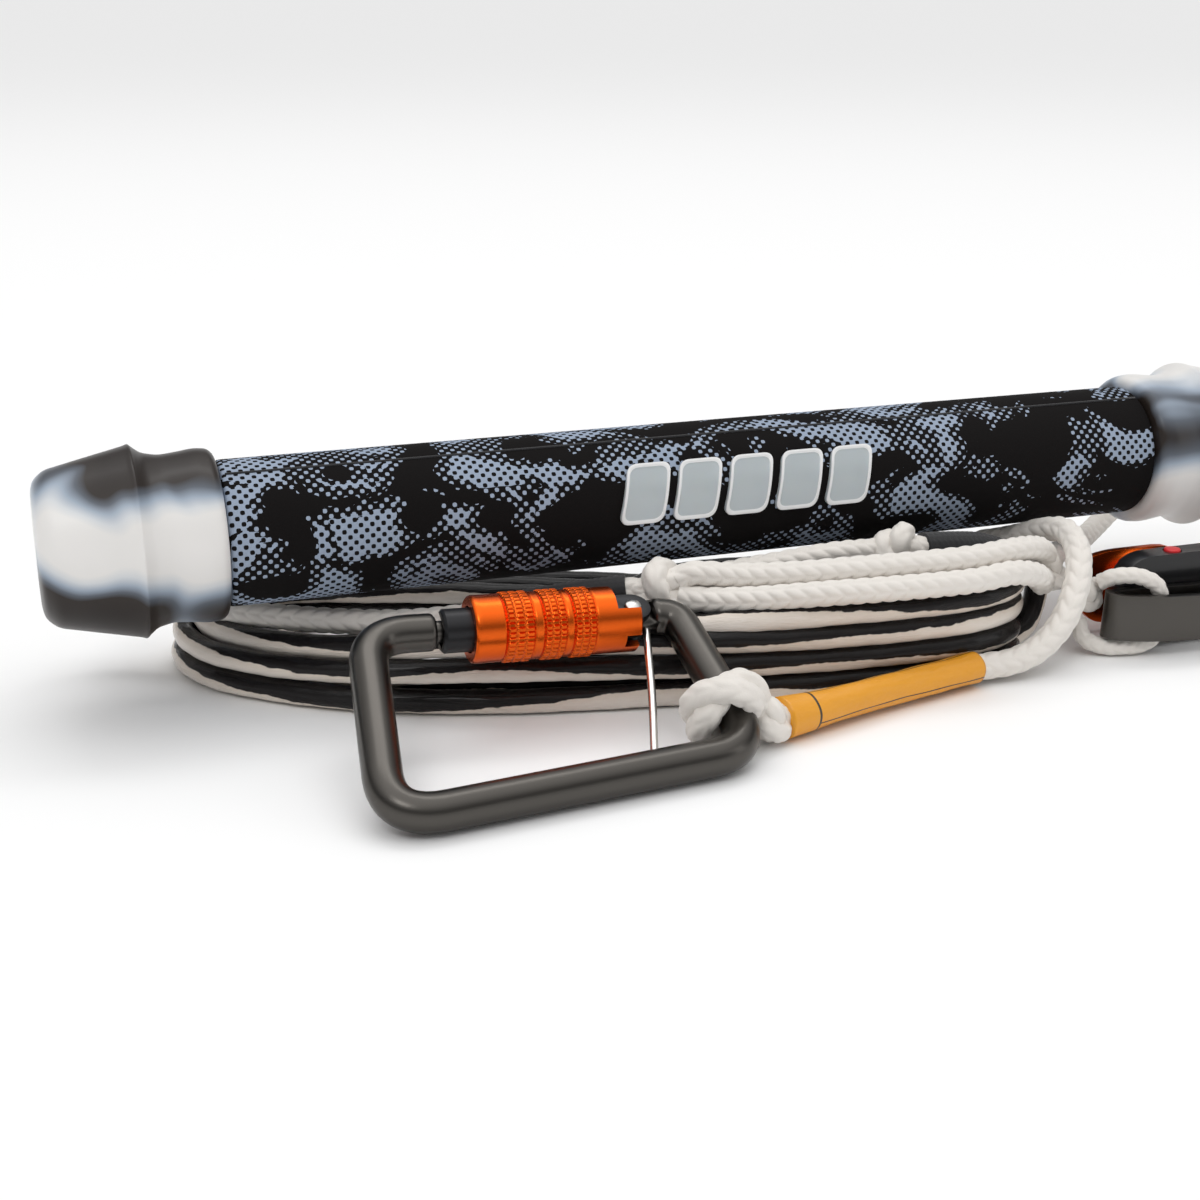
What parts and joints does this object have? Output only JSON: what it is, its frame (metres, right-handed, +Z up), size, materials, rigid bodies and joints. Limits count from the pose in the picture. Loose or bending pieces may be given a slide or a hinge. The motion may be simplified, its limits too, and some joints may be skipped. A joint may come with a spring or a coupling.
{
  "type": "tow rope handle",
  "caption": "Floating tow rope handle with a foam grip, flared end caps, a knotted braided bridle, a coiled coated line, a twist-lock carabiner and a small line block.",
  "frame": {"origin": "on the table that the coiled line lies on, under the middle of the handle's bar", "axes": "+X along the handle's bar, +Y away from the carabiner side, +Z up from the table"},
  "size_m": [0.304, 0.1384, 0.0589],
  "materials": {
    "aluminium_tube": "satin",
    "eva_foam": "matt foam with a printed dot camouflage",
    "float_foam": "matt",
    "white_braid": "braided",
    "bushing_plastic": "matt",
    "cap_rubber": "satin, marbled in white, black-brown and blue-grey",
    "badge_silicone": "translucent satin",
    "chafe_sleeve": "matt",
    "coated_line": "glossy, half cream and half black along its length",
    "label_film": "satin film",
    "dark_anodised": "satin dark anodised",
    "black_anodised": "satin black anodised",
    "orange_anodised": "satin orange anodised",
    "steel": "bright",
    "block_black": "glossy",
    "red_plastic": "glossy"
  },
  "bodies": {
    "handle_and_lines": {"grip_tube": "aluminium_tube", "grip_sleeve": "eva_foam", "float_core": "float_foam", "bridle_inner": "white_braid", "bridle_leg_left": "white_braid", "bridle_leg_right": "white_braid", "bridle_cross_line": "white_braid", "bridle_tail_lower": "white_braid", "bridle_tail_upper": "white_braid", "knot_left": "white_braid", "knot_right": "white_braid", "knot_main": "white_braid", "end_line": "white_braid", "label_line": "white_braid", "block_loop": "white_braid", "knot_loop": "white_braid", "tube_bushing_left": "bushing_plastic", "tube_bushing_right": "bushing_plastic", "end_cap_left": "cap_rubber", "end_cap_right": "cap_rubber", "badge_tile_1": "badge_silicone", "badge_tile_2": "badge_silicone", "badge_tile_3": "badge_silicone", "badge_tile_4": "badge_silicone", "badge_tile_5": "badge_silicone", "line_sleeve_left": "chafe_sleeve", "line_sleeve_right": "chafe_sleeve", "mainline_coil": "coated_line", "mainline_lead_out": "coated_line", "mainline_lead_in": "coated_line", "label_sleeve": "label_film", "block_strap": "dark_anodised", "strap_pin": "steel"},
    "hitch_tail": {"hitch_lobe": "white_braid"},
    "carabiner": {"carabiner_frame": "dark_anodised", "hinge_rivet": "steel", "captive_pin": "steel", "hitch_knot": "white_braid"},
    "gate": {"carabiner_gate": "black_anodised", "gate_spring": "steel", "gate_plunger": "steel", "lock_spring": "steel"},
    "lock": {"lock_sleeve": "orange_anodised"},
    "block": {"block_body": "block_black", "sheave_axle": "steel", "button_spring": "steel"},
    "rear_plate": {"block_rear_plate": "orange_anodised"},
    "sheave_wheel": {"sheave": "steel", "sheave_bearing": "steel"},
    "button": {"lock_button": "red_plastic"}
  },
  "joints": [
    {"name": "carabiner_side_swing", "type": "hinge", "parent": "handle_and_lines", "child": "hitch_tail", "pos_m": [-0.0106, -0.0622, 0.0053], "axis": [0, 0, 1], "range_deg": [0, 60]},
    {"name": "carabiner_lift", "type": "hinge", "parent": "hitch_tail", "child": "carabiner", "pos_m": [-0.0106, -0.0622, 0.0053], "axis": [-0.25, 0.9682, 0], "range_deg": [0, 10]},
    {"name": "gate_hinge", "type": "hinge", "parent": "carabiner", "child": "gate", "pos_m": [-0.03224, -0.03623, 0.02129], "axis": [0.0434, -0.4044, 0.9135], "range_deg": [0, 22], "stiffness_Nm_per_rad": 0.12, "springref_deg": -6.88},
    {"name": "sleeve_twist", "type": "hinge", "parent": "gate", "child": "lock", "pos_m": [-0.03224, -0.03623, 0.02129], "axis": [0.9989, 0.0017, -0.0467], "range_deg": [0, 90], "stiffness_Nm_per_rad": 0.02, "springref_deg": -11.46},
    {"name": "block_swing", "type": "hinge", "parent": "handle_and_lines", "child": "block", "pos_m": [0.134, -0.0352, 0.0083], "axis": [0, 1, 0], "range_deg": [0, 90]},
    {"name": "rear_plate_swing", "type": "hinge", "parent": "block", "child": "rear_plate", "pos_m": [0.1064, -0.026, 0.0109], "axis": [0, 1, 0], "range_deg": [0, 90]},
    {"name": "sheave_spin", "type": "hinge", "parent": "block", "child": "sheave_wheel", "pos_m": [0.1064, -0.0296, 0.0109], "axis": [0, 1, 0], "continuous": true},
    {"name": "button_press", "type": "slide", "parent": "block", "child": "button", "axis": [0, 0, -1], "range_m": [0, 0.0008], "stiffness_N_per_m": 400, "springref_m": -0.0005, "deforming": ["button_spring"]}
  ]
}
